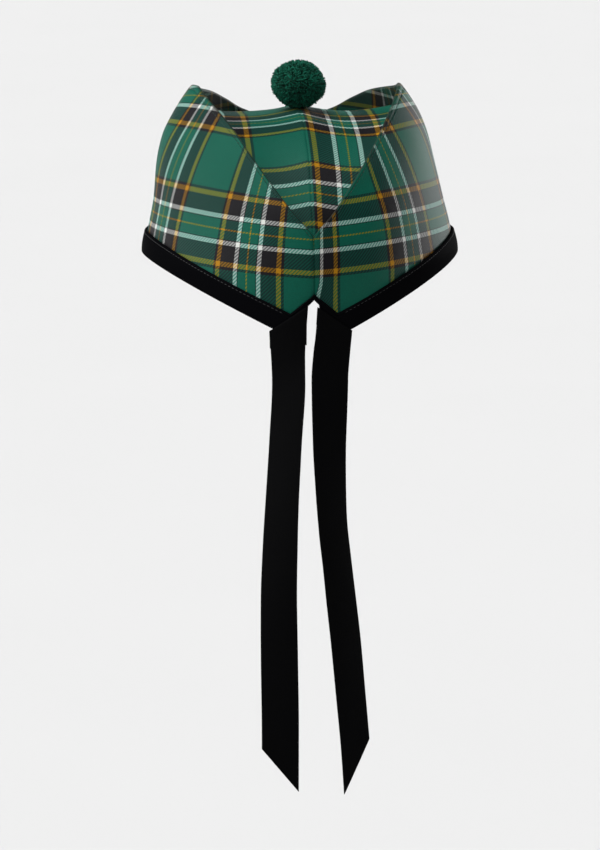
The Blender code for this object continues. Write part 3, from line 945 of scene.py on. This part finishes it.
@dataclass
class CrownHalf:
    """One half of the crown: up inside its panel, over a soft fold and along to the ridge."""

    form: CapForm
    side: Side
    pompom_place: tuple[float, float]
    columns: int = 150
    wall_rows: int = 14
    fold_rows: int = 7
    top_rows: int = 30
    seam_roll: float = 0.55 * MM
    seam_reach: float = 1.5 * MM
    pull_height: float = 1.5 * MM
    pull_reach: float = 6.0 * MM
    # Where the cloth's broad green lies: beside the ridge and along it from the rear
    sett_across: float = -13.75 * MM
    sett_along: float = 61.15 * MM
    ridge_mark: float = 89.0 * MM
    ridge_mark_cloth: float = -0.1 * MM

    def ridge_cloth(self, back: np.ndarray) -> np.ndarray:
        """Cloth distance along the ridge from the rear, for distances behind the middle."""
        steps = np.linspace(92 * MM, -108 * MM, 900)
        heights = self.form.ridge.at(steps)
        lengths = np.concatenate([[0], np.cumsum(np.hypot(np.diff(steps), np.diff(heights)))])
        at_mark = np.interp(-self.ridge_mark, -steps, lengths)
        return np.interp(-back, -steps, lengths) - at_mark + self.ridge_mark_cloth

    def top_relief(self, points: np.ndarray) -> np.ndarray:
        """How far the crown's upper face rises: pulled up at the pompom and sunk at its seam."""
        place_x, place_y = self.pompom_place
        apart = np.hypot(points[..., 0] - place_x, points[..., 1] - place_y)
        pull = self.pull_height * bell(apart, self.pull_reach)
        seam = np.clip(1 - np.abs(points[..., 0]) / self.seam_reach, 0, 1) ** 2
        keep = 1 - bell(apart, 4 * MM)
        return pull - self.seam_roll * seam * keep + Ripples(21, 40 * MM, 0.35 * MM).at(points)

    def top_rows_from(self, corner: np.ndarray, fold: np.ndarray, depth: float) -> tuple:
        """Rows of the crown's top from its fold to the ridge, and their upward directions.

        Args:
            corner: Where the face would run into the wall, one point a column.
            fold: Width of the fold.
            depth: Depth under the upper face.

        Returns:
            The points and unit vectors square to the face.
        """
        form, sign = self.form, self.side.value
        start = sign * np.maximum(sign * corner[:, 0] - fold, form.seam_gap / 2)
        share = (1 - (1 - np.linspace(0, 1, self.top_rows)) ** 1.3)[:, None]
        across = start + (sign * form.seam_gap / 2 - start) * share
        back = np.broadcast_to(corner[:, 1], across.shape)
        upward = form.crown_up(across, back)
        points = np.stack([across, back, form.crown(across, back)], axis=-1)
        free = smooth_step(np.abs(across - start) / (8 * MM))
        points[..., 2] += self.top_relief(points) * free - depth / upward[..., 2]
        return points, upward

    def build(self) -> bpy.types.Object:
        """Model the crown half.

        Returns:
            The crown half's object.
        """
        form, side = self.form, self.side
        depth = form.panel_thickness + form.cloth_gap
        turn, low = form.edge(form.ribbon_thickness + form.gap, self.columns)
        corner, fold = form.corner(turn, side)
        start = corner[:, 2] - form.crown_fold

        wall_height = low + (start - low) * np.linspace(0, 1, self.wall_rows)[:, None]
        turns = np.broadcast_to(turn, wall_height.shape)
        wall = form.skin(turns, wall_height, side, depth)
        wall_in = form.skin(turns, wall_height, side, depth + form.crown_thickness)
        top, top_out = self.top_rows_from(corner, fold, 0.0)
        top_in, _ = self.top_rows_from(wall_in[-1], fold, form.crown_thickness)

        # The fold narrows to a plain slope between wall and underside at the crown's two tips
        bend = np.linspace(0, 1, self.fold_rows + 1)[1:-1, None, None]
        facing = unit(form.outward(turn, corner[:, 2], side) + top_out[0])
        slope = (wall_in[-1] + top_in[0]) / 2
        full = (fold / form.crown_fold)[:, None]
        corner_in = slope + (corner - facing * form.crown_thickness - slope) * full
        outer = np.concatenate([wall, curve(wall[-1], corner, top[0], bend), top])
        inner = np.concatenate([wall_in, curve(wall_in[-1], corner_in, top_in[0], bend), top_in])
        for sheet in (outer, inner):
            form.off_seam(sheet, side)

        from_ridge = running_length(outer[::-1])[::-1]
        cloth = np.stack([-side.value * from_ridge - self.sett_across,
                          self.ridge_cloth(outer[..., 1]) - self.sett_along], axis=-1)
        loops = np.concatenate([outer, inner[::-1]]).transpose(1, 0, 2)
        weave = np.concatenate([cloth, cloth[::-1]]).transpose(1, 0, 2)
        plain = np.zeros(loops.shape[:2])
        return loft(f"crown_cloth_{side.word}", loops, weave, {"edge": plain, "inside": plain})


@dataclass
class RimBinding:
    """Ribbon folded over the rim all round, mitred at the slit and stitched along its edge."""

    form: CapForm
    outside: float = 13.0 * MM
    inside: float = 7.5 * MM
    mitre: float = 12.5 * MM
    over_slit: float = 3.5 * MM
    stations: int = 150
    slit_steps: int = 8
    stitch_inset: float = 1.5 * MM
    stitch_groove: float = 0.30 * MM
    groove_reach: float = 0.33 * MM
    swell: float = 0.22 * MM
    edge_thickness: float = 0.4 * MM
    edge_taper: float = 0.9 * MM
    turn_depth: float = 2.4 * MM
    turn_height: float = 1.3 * MM

    def pairs(self) -> np.ndarray:
        """Lower edge and leg top of each section: turn and height, then turn and height."""
        form = self.form
        mitre_turn = float(form.turn_at(self.mitre, -form.rear_dip)[0])
        mitre = (mitre_turn, float(form.rim(np.array(mitre_turn))) + self.outside)
        slit = form.slit(0.0)
        above = (0.0, form.slit_top + self.over_slit)
        halfway = (float(form.turn_at(self.mitre / 2, form.slit_top)[0]), (mitre[1] + above[1]) / 2)
        beside = (slit[2][0] * 0.98, (form.slit_shoulder + slit[2][1]) / 2)
        between = (slit[2][0] + mitre_turn) / 2
        under = (between, float(form.rim(np.array(between))))
        first = (mitre_turn, float(form.rim(np.array(mitre_turn))))
        marks = np.array([(*slit[0], *above), (*slit[1], *halfway), (*beside, *mitre),
                          (*slit[2], *mitre), (*under, *mitre), (*first, *mitre)])
        share = np.linspace(0, 1, self.slit_steps + 1)[:-1, None]
        around = [one + (other - one) * share for one, other in zip(marks, marks[1:])]
        turn = mitre_turn + (1 - mitre_turn) * np.linspace(0, 1, self.stations)
        low = form.rim(turn)
        return np.concatenate(around + [np.stack([turn, low, turn, low + self.outside], axis=-1)])

    def section(self, whole: float) -> np.ndarray:
        """Depth and rise of a section's points: down the outside, under the rim and up inside."""
        form = self.form
        out = -form.gap - form.ribbon_thickness
        within = form.panel_thickness + form.cloth_gap + form.crown_thickness + form.gap
        far = within + form.ribbon_thickness
        taper, line = min(self.edge_taper, 0.2 * whole), min(self.stitch_inset, 0.35 * whole)
        leg = whole - self.turn_height
        rises = np.concatenate([whole - np.linspace(0, 0.25, 14) * whole,
                                np.linspace(0.72 * whole, self.turn_height, 9)])
        from_top = whole - rises
        thin = (form.ribbon_thickness - self.edge_thickness) * (1 - smooth_step(from_top / taper))
        groove = self.stitch_groove * bell(from_top - line, self.groove_reach)
        swell = self.swell * np.sin(np.pi * np.clip((rises - self.turn_height) / leg, 0, 1))
        outer = np.stack([out + thin + groove - swell, rises], axis=-1)
        angle = np.linspace(0, np.pi / 2, 7)[1:]
        bulge, rise = self.turn_depth * (1 - np.cos(angle)), self.turn_height * (1 - np.sin(angle))
        under_out = np.stack([out + bulge, rise], axis=-1)
        under_in = np.stack([far - bulge, rise], axis=-1)[::-1]
        high = whole * self.inside / self.outside
        up = np.linspace(self.turn_height, high, 7)
        inner_thin = (form.ribbon_thickness - self.edge_thickness) * (
            1 - smooth_step((high - up) / taper))
        leg_in = np.stack([far - inner_thin, up], axis=-1)
        back = np.array([(within, high), (within, form.ribbon_thickness),
                         (-form.gap, form.ribbon_thickness), (-form.gap, whole / 2),
                         (-form.gap, whole)])
        return np.concatenate([outer, under_out, under_in, leg_in, back])

    def half(self, side: Side) -> tuple[np.ndarray, np.ndarray]:
        """Loops and cloth coordinates of one half, from the slit's top to the front seam."""
        form, loops, cloth, along = self.form, [], [], 0.0
        pairs, last = self.pairs(), None
        for edge_turn, edge_height, reach_turn, reach_height in pairs:
            low = form.skin(edge_turn, edge_height, side)
            whole = float(np.linalg.norm(low - form.skin(reach_turn, reach_height, side)))
            section = self.section(whole)
            share = section[:, 1] / whole
            turn = edge_turn + (reach_turn - edge_turn) * share
            height = edge_height + (reach_height - edge_height) * share
            loops.append(form.skin(turn, height, side, section[:, 0]))
            along += 0.0 if last is None else float(np.linalg.norm(low - last))
            last = low
            cloth.append(np.stack([section[:, 1] + section[:, 0], np.full(len(section), along)],
                                  axis=-1))
        return np.array(loops), np.array(cloth)

    def build(self) -> bpy.types.Object:
        """Model the binding as one ribbon from one side of the slit round to the other.

        Returns:
            The binding's object.
        """
        (left, left_cloth), (right, right_cloth) = self.half(Side.LEFT), self.half(Side.RIGHT)
        front = (left[-1:] + right[-1:]) / 2
        right_cloth[..., 1] = 2 * left_cloth[-1, 0, 1] - right_cloth[..., 1]
        loops = np.concatenate([left[:-1], front, right[-2::-1]])
        cloth = np.concatenate([left_cloth, right_cloth[-2::-1]])
        return loft("binding_ribbon", loops, cloth, sharp=70.0)

    def stitch_line(self, side: Side) -> tuple[np.ndarray, np.ndarray]:
        """Points and outward directions along the stitches near the ribbon's upper edge."""
        form = self.form
        first = float(form.turn_at(self.mitre, -form.rear_dip)[0])
        turn = np.linspace(first + 0.01, 0.997, 900)
        height = form.rim(turn) + self.outside - self.stitch_inset
        depth = -form.gap - form.ribbon_thickness + 0.12 * MM
        return form.skin(turn, height, side, depth), form.outward(turn, height, side)


@dataclass
class StitchRow:
    """A row of lockstitches: short humps of thread that dip into the cloth at both ends."""

    name: str
    pitch: float = 2.5 * MM
    length: float = 1.8 * MM
    thread: float = 0.42 * MM
    rings: int = 6
    sides: int = 6

    def build(self, lines: Sequence[tuple[np.ndarray, np.ndarray]]) -> bpy.types.Object:
        """Lay stitches along lines.

        Args:
            lines: Points and outward directions of each line.

        Returns:
            All the stitches as one object.
        """
        points, faces = [], []
        share = np.linspace(0, 1, self.rings)
        angle = np.linspace(0, 2 * np.pi, self.sides, endpoint=False)
        rings, quads = tube(self.rings, self.sides)
        template = quads.tolist() + [rings[0].tolist(), rings[-1].tolist()]
        for line, outward in lines:
            lengths = running_length(line)
            for middle in np.arange(self.pitch, lengths[-1] - self.pitch / 2, self.pitch):
                places = middle + (share - 0.5) * self.length
                centre = np.stack([np.interp(places, lengths, line[:, axis]) for axis in range(3)],
                                  axis=-1)
                up = unit(np.array([np.interp(middle, lengths, outward[:, axis])
                                    for axis in range(3)]))
                ahead = unit(centre[-1] - centre[0])
                beside = np.cross(up, ahead)
                hump = np.sin(np.pi * share)
                centre = centre + up * (0.22 * MM * (hump - 0.7))[:, None]
                radius = self.thread / 2 * (0.45 + 0.55 * hump)
                ring = (centre[:, None] + radius[:, None, None]
                        * (np.cos(angle)[None, :, None] * beside + np.sin(angle)[None, :, None] * up))
                faces.extend([[number + len(points) for number in face] for face in template])
                points.extend(ring.reshape(-1, 3).tolist())
        return build_mesh(self.name, np.array(points), faces, sharp=60.0)


@dataclass
class RibbonTail:
    """One hanging ribbon end: turned under along a slanting fold and cut to a slanting point."""

    form: CapForm
    side: Side
    top_inner: float = -14.5 * MM
    top_outer: float = -28.0 * MM
    end_inner: float = -280.5 * MM
    leaves_hat: float = -34.0 * MM
    hangs_free: float = -62.0 * MM
    thickness: float = 0.5 * MM
    rows: int = 110
    columns: int = 16
    turn_under: float = 9.0 * MM
    flat_length: float = 266.0 * MM

    @property
    def end_outer(self) -> float:
        """Height of the outer corner of the slanting cut."""
        return (-256.0 if self.side is Side.LEFT else -253.0) * MM

    def face(self, share: np.ndarray, out: np.ndarray) -> np.ndarray:
        """Points on the middle of the ribbon.

        Args:
            share: Shares of the way down it.
            out: Shares of the way from its inner to its outer edge.

        Returns:
            The points.
        """
        form, table, sign = self.form, TAIL_PATHS[self.side], self.side.value
        top = self.top_inner + (self.top_outer - self.top_inner) * out
        end = self.end_inner + (self.end_outer - self.end_inner) * out
        height = top + (end - top) * share
        turned = np.radians(SmoothTable(table, 3, value_scale=1.0).at(height))
        offset = (out - 0.5) * form.ribbon_width
        across = sign * (SmoothTable(table, 1).at(height) + offset * np.cos(turned))
        back = SmoothTable(table, 2).at(height) - offset * np.sin(turned)
        cupped = 0.9 * MM * (2 * out - 1) ** 2 * np.sin(np.pi * share)
        hanging = np.stack([across, back - cupped, height], axis=-1)
        lie = -(form.gap + form.ribbon_thickness) - form.cloth_gap - form.ribbon_thickness / 2
        lying = form.skin(form.turn_at(across, height), height, self.side, lie)
        lying[..., 0] = across
        free = smooth_step((self.leaves_hat - height) / (self.leaves_hat - self.hangs_free))
        points = lying + (hanging - lying) * free[..., None]
        points[..., 1] += Ripples(31 + sign, 70 * MM, 0.5 * MM).at(points) * free
        return points

    def build(self) -> bpy.types.Object:
        """Model the tail.

        Returns:
            The tail's object.
        """
        share, out = np.meshgrid(np.linspace(0, 1, self.rows), np.linspace(0, 1, self.columns),
                                 indexing="ij")
        front = self.face(share, out)
        down = unit(front[1] - front[0])
        facing = unit(np.cross(front[0, -1] - front[0, 0], down)) * self.side.value
        facing = facing * np.sign(facing[..., 1:2])
        radius = (self.form.ribbon_thickness - self.thickness) / 2
        centre = front[0] + down * (radius + self.thickness / 2)
        angle = np.linspace(np.pi, 0, 9)[:, None, None]
        roll = centre + facing * radius * np.cos(angle) - down * radius * np.sin(angle)
        under = (centre - facing * radius
                 + down * np.linspace(self.turn_under, 0.8 * MM, 6)[:, None, None])
        path = np.concatenate([under, roll, front[1:] + facing * radius])

        along = np.gradient(path, axis=0)
        beside = np.gradient(path, axis=1)
        normal = unit(np.cross(beside, along))
        half = normal * self.thickness / 2
        length = running_length(path)
        width = np.broadcast_to(out[0] * self.form.ribbon_width, length.shape)
        cloth = np.stack([width, length], axis=-1)
        loops = np.concatenate([path + half, (path - half)[:, ::-1]], axis=1)
        weave = np.concatenate([cloth, cloth[:, ::-1]], axis=1)
        return loft(f"tail_ribbon_{self.side.word}", loops, weave, sharp=60.0)


@dataclass
class Pompom:
    """A ball of cut yarn on the crown's ridge: strands that stand out all round and are trimmed."""

    form: CapForm
    place: tuple[float, float]
    width: float = 30.0 * MM
    height: float = 27.0 * MM
    strands: int = 4100
    inner_share: float = 0.5
    yarn: float = 0.86 * MM
    rings: int = 4
    sides: int = 5

    def centre(self) -> np.ndarray:
        """Middle of the ball, which sits on the crown's ridge."""
        low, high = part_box("pompom")
        return np.array([self.place[0], self.place[1], (low[2] + high[2]) / 2])

    def build(self) -> bpy.types.Object:
        """Model the strands.

        Returns:
            The pompom's object.
        """
        chance = np.random.default_rng(17)
        golden = math.pi * (3 - math.sqrt(5))
        number = np.arange(self.strands)
        level = 1 - 2 * (number + 0.5) / self.strands
        flat = np.sqrt(1 - level ** 2)
        ways = np.stack([flat * np.cos(golden * number), flat * np.sin(golden * number), level],
                        axis=-1)
        ways = unit(ways + chance.normal(scale=0.03, size=ways.shape))
        bent = unit(ways + chance.normal(scale=0.10, size=ways.shape))
        reach = self.width / 2 * chance.uniform(0.93, 1.015, self.strands)
        tufts = Ripples(41, 9 * MM, 0.55 * MM, 9).at(ways * self.width / 2)
        reach = reach + tufts
        squash = np.array([1.0, 1.0, self.height / self.width])

        share = np.linspace(0, 1, self.rings)
        rise = self.inner_share + (1 - self.inner_share) * share
        lean = (share ** 2)[None, :, None]
        line = unit(ways[:, None] * (1 - lean) + bent[:, None] * lean)
        line = line * (reach[:, None] * rise)[..., None]
        axis = unit(line[:, -1] - line[:, 0])
        helper = np.where(np.abs(axis[:, 2:3]) > 0.9, [[1.0, 0, 0]], [[0, 0, 1.0]])
        one = unit(np.cross(axis, helper))
        two = np.cross(axis, one)
        spin = chance.uniform(0, 2 * np.pi, self.strands)
        angle = spin[:, None] + np.linspace(0, 2 * np.pi, self.sides, endpoint=False)
        around = (np.cos(angle)[..., None] * one[:, None] + np.sin(angle)[..., None] * two[:, None])
        thick = self.yarn / 2 * np.array([0.6, 0.85, 1.0, 0.62])[None, :, None, None]
        thick = thick * chance.uniform(0.85, 1.2, self.strands)[:, None, None, None]
        points = (line[:, :, None] + around[:, None] * thick) * squash + self.centre()

        per = self.rings * self.sides
        rings, quads = tube(self.rings, self.sides)
        starts = np.arange(self.strands) * per
        faces = (quads[None] + starts[:, None, None]).reshape(-1, 4).tolist()
        faces += (rings[-1][None] + starts[:, None]).tolist()
        faces += (rings[0][::-1][None] + starts[:, None]).tolist()
        out = np.broadcast_to(share[None, :, None], points.shape[:3]).reshape(-1)
        shade = np.repeat(chance.uniform(0, 1, self.strands), per)
        return build_mesh("pompom_yarn", points.reshape(-1, 3), faces,
                          values={"out": out, "strand": shade}, sharp=75.0)


@dataclass
class Studio:
    """Pale floor, three broad lights, a dim sky and the camera at the photo's angle."""

    target: tuple[float, float, float] = (0.0, 0.0, -0.098)
    distance: float = 2.0
    azimuth: float = 175.5
    elevation: float = 11.6
    metres_per_pixel: float = 0.000558
    picture_height: int = 850
    sensor: float = 24.0
    floor_height: float = -0.5
    floor_size: float = 40.0

    def camera(self) -> None:
        """Place the camera so that the cap fills the frame as in the photo."""
        away = towards(self.azimuth, self.elevation)
        data = bpy.data.cameras.new("camera")
        data.sensor_fit, data.sensor_height = "VERTICAL", self.sensor
        data.lens = self.sensor * self.distance / (self.picture_height * self.metres_per_pixel)
        data.clip_end = 100.0
        item = bpy.data.objects.new("camera", data)
        item.location = Vector(self.target) + away * self.distance
        item.rotation_euler = away.to_track_quat("Z", "Y").to_euler()
        bpy.context.scene.collection.objects.link(item)
        bpy.context.scene.camera = item

    def floor(self) -> None:
        """Lay a pale floor of coated paper, with a faint grain."""
        bpy.ops.object.select_all(action="DESELECT")
        bpy.ops.mesh.primitive_plane_add(size=self.floor_size, location=(0, 0, self.floor_height))
        floor = bpy.context.object
        floor.name = "floor"
        material, tree = start_material("studio_paper")
        coordinates = add_node(tree, "TexCoord").outputs["Object"]
        grain = add_node(tree, "TexNoise", {"Vector": coordinates, "Scale": 3.0})
        colour = add_node(tree, "Mix", {0: grain, 6: linear("CBCBCB"), 7: linear("CDCDCD")},
                          data_type="RGBA")
        end_material(tree, {"Base Color": colour.outputs[2], "Roughness": 0.9,
                            "Specular IOR Level": 0.0})
        floor.data.materials.append(material)

    def lamp(self, name: str, azimuth: float, elevation: float, strength: float,
             softness: float) -> None:
        """Add a broad light from a direction.

        Args:
            name: The light's name.
            azimuth: Degrees round from the cap's front, towards the wearer's left.
            elevation: Degrees above the horizon.
            strength: Its strength.
            softness: The angle that it covers, in degrees.
        """
        data = bpy.data.lights.new(name, "SUN")
        data.energy, data.angle = strength, math.radians(softness)
        item = bpy.data.objects.new(name, data)
        item.rotation_euler = towards(azimuth, elevation).to_track_quat("Z", "Y").to_euler()
        bpy.context.scene.collection.objects.link(item)

    def build(self) -> None:
        """Set up the camera, the floor and the lights."""
        self.camera()
        self.floor()
        world = bpy.data.worlds.new("studio")
        bpy.context.scene.world = world
        world.use_nodes = True
        world.node_tree.nodes.clear()
        tree = world.node_tree
        # As pale as the floor where the two meet, and dim overhead
        way = add_node(tree, "TexCoord").outputs["Generated"]
        rise = add_node(tree, "SeparateXYZ", [way]).outputs[2]
        strength = add_node(tree, "MapRange", {"Value": rise, "From Min": 0.14, "From Max": 0.21,
                                               "To Min": 1.0, "To Max": 0.04})
        glow = add_node(tree, "Background", {"Color": linear("EFEFEF"), "Strength": strength})
        add_node(tree, "OutputWorld", [glow])
        self.lamp("top_light", 110.0, 70.0, 3.9, 50.0)
        self.lamp("left_light", 84.0, 15.0, 1.8, 36.0)
        self.lamp("right_light", 311.0, 7.0, 1.6, 26.0)
        bpy.context.scene.view_settings.view_transform = "Standard"


class Glengarry:
    """The whole cap: builds each sub-assembly and dresses it."""

    pompom_place = (0.0, -12.0 * MM)

    def __init__(self) -> None:
        """Prepare the form and the finishes."""
        self.form = CapForm()
        self.tartan = TartanWool().make()
        self.satin = WovenRibbon("black_satin_ribbon", "09090B", 0.48, 0.5 * MM, 0.03 * MM,
                                 0.0008).make()
        self.grosgrain = WovenRibbon("black_grosgrain_ribbon", "060607", 0.78, 1.1 * MM,
                                     0.10 * MM, 0.03).make()
        self.yarn = CutYarn().make()
        self.black_thread = SewingThread("black_sewing_thread", "101011").make()
        self.green_thread = SewingThread("green_sewing_thread", "0E3B2D").make()

    def build(self) -> None:
        """Build and dress every piece in order."""
        panels = [SidePanel(self.form, side) for side in Side]
        for panel in panels:
            settle(panel.build(), self.tartan, "tartan_wool", f"side_panel_{panel.side.word}")
        for side in Side:
            half = CrownHalf(self.form, side, self.pompom_place).build()
            settle(half, self.tartan, "crown_tartan_wool", f"crown_{side.word}")
        binding = RimBinding(self.form)
        settle(binding.build(), self.satin, "black_satin_ribbon", "rim_binding")
        edge_stitches = StitchRow("binding_stitches").build([binding.stitch_line(s) for s in Side])
        settle(edge_stitches, self.black_thread, "black_satin_ribbon")
        panel_stitches = StitchRow("panel_stitches", thread=0.3 * MM).build(
            [panel.stitch_line() for panel in panels])
        settle(panel_stitches, self.green_thread, "tartan_wool")
        for side in Side:
            tail = RibbonTail(self.form, side)
            ribbon = tail.build()
            settle(ribbon, self.grosgrain, "black_grosgrain_ribbon", f"ribbon_tail_{side.word}")
        settle(Pompom(self.form, self.pompom_place).build(), self.yarn, "dark_green_yarn", "pompom")


def main() -> None:
    """Build the studio and the cap."""
    logging.basicConfig(level=logging.INFO, format="%(message)s")
    Studio().build()
    Glengarry().build()


if __name__ == "__main__":
    main()
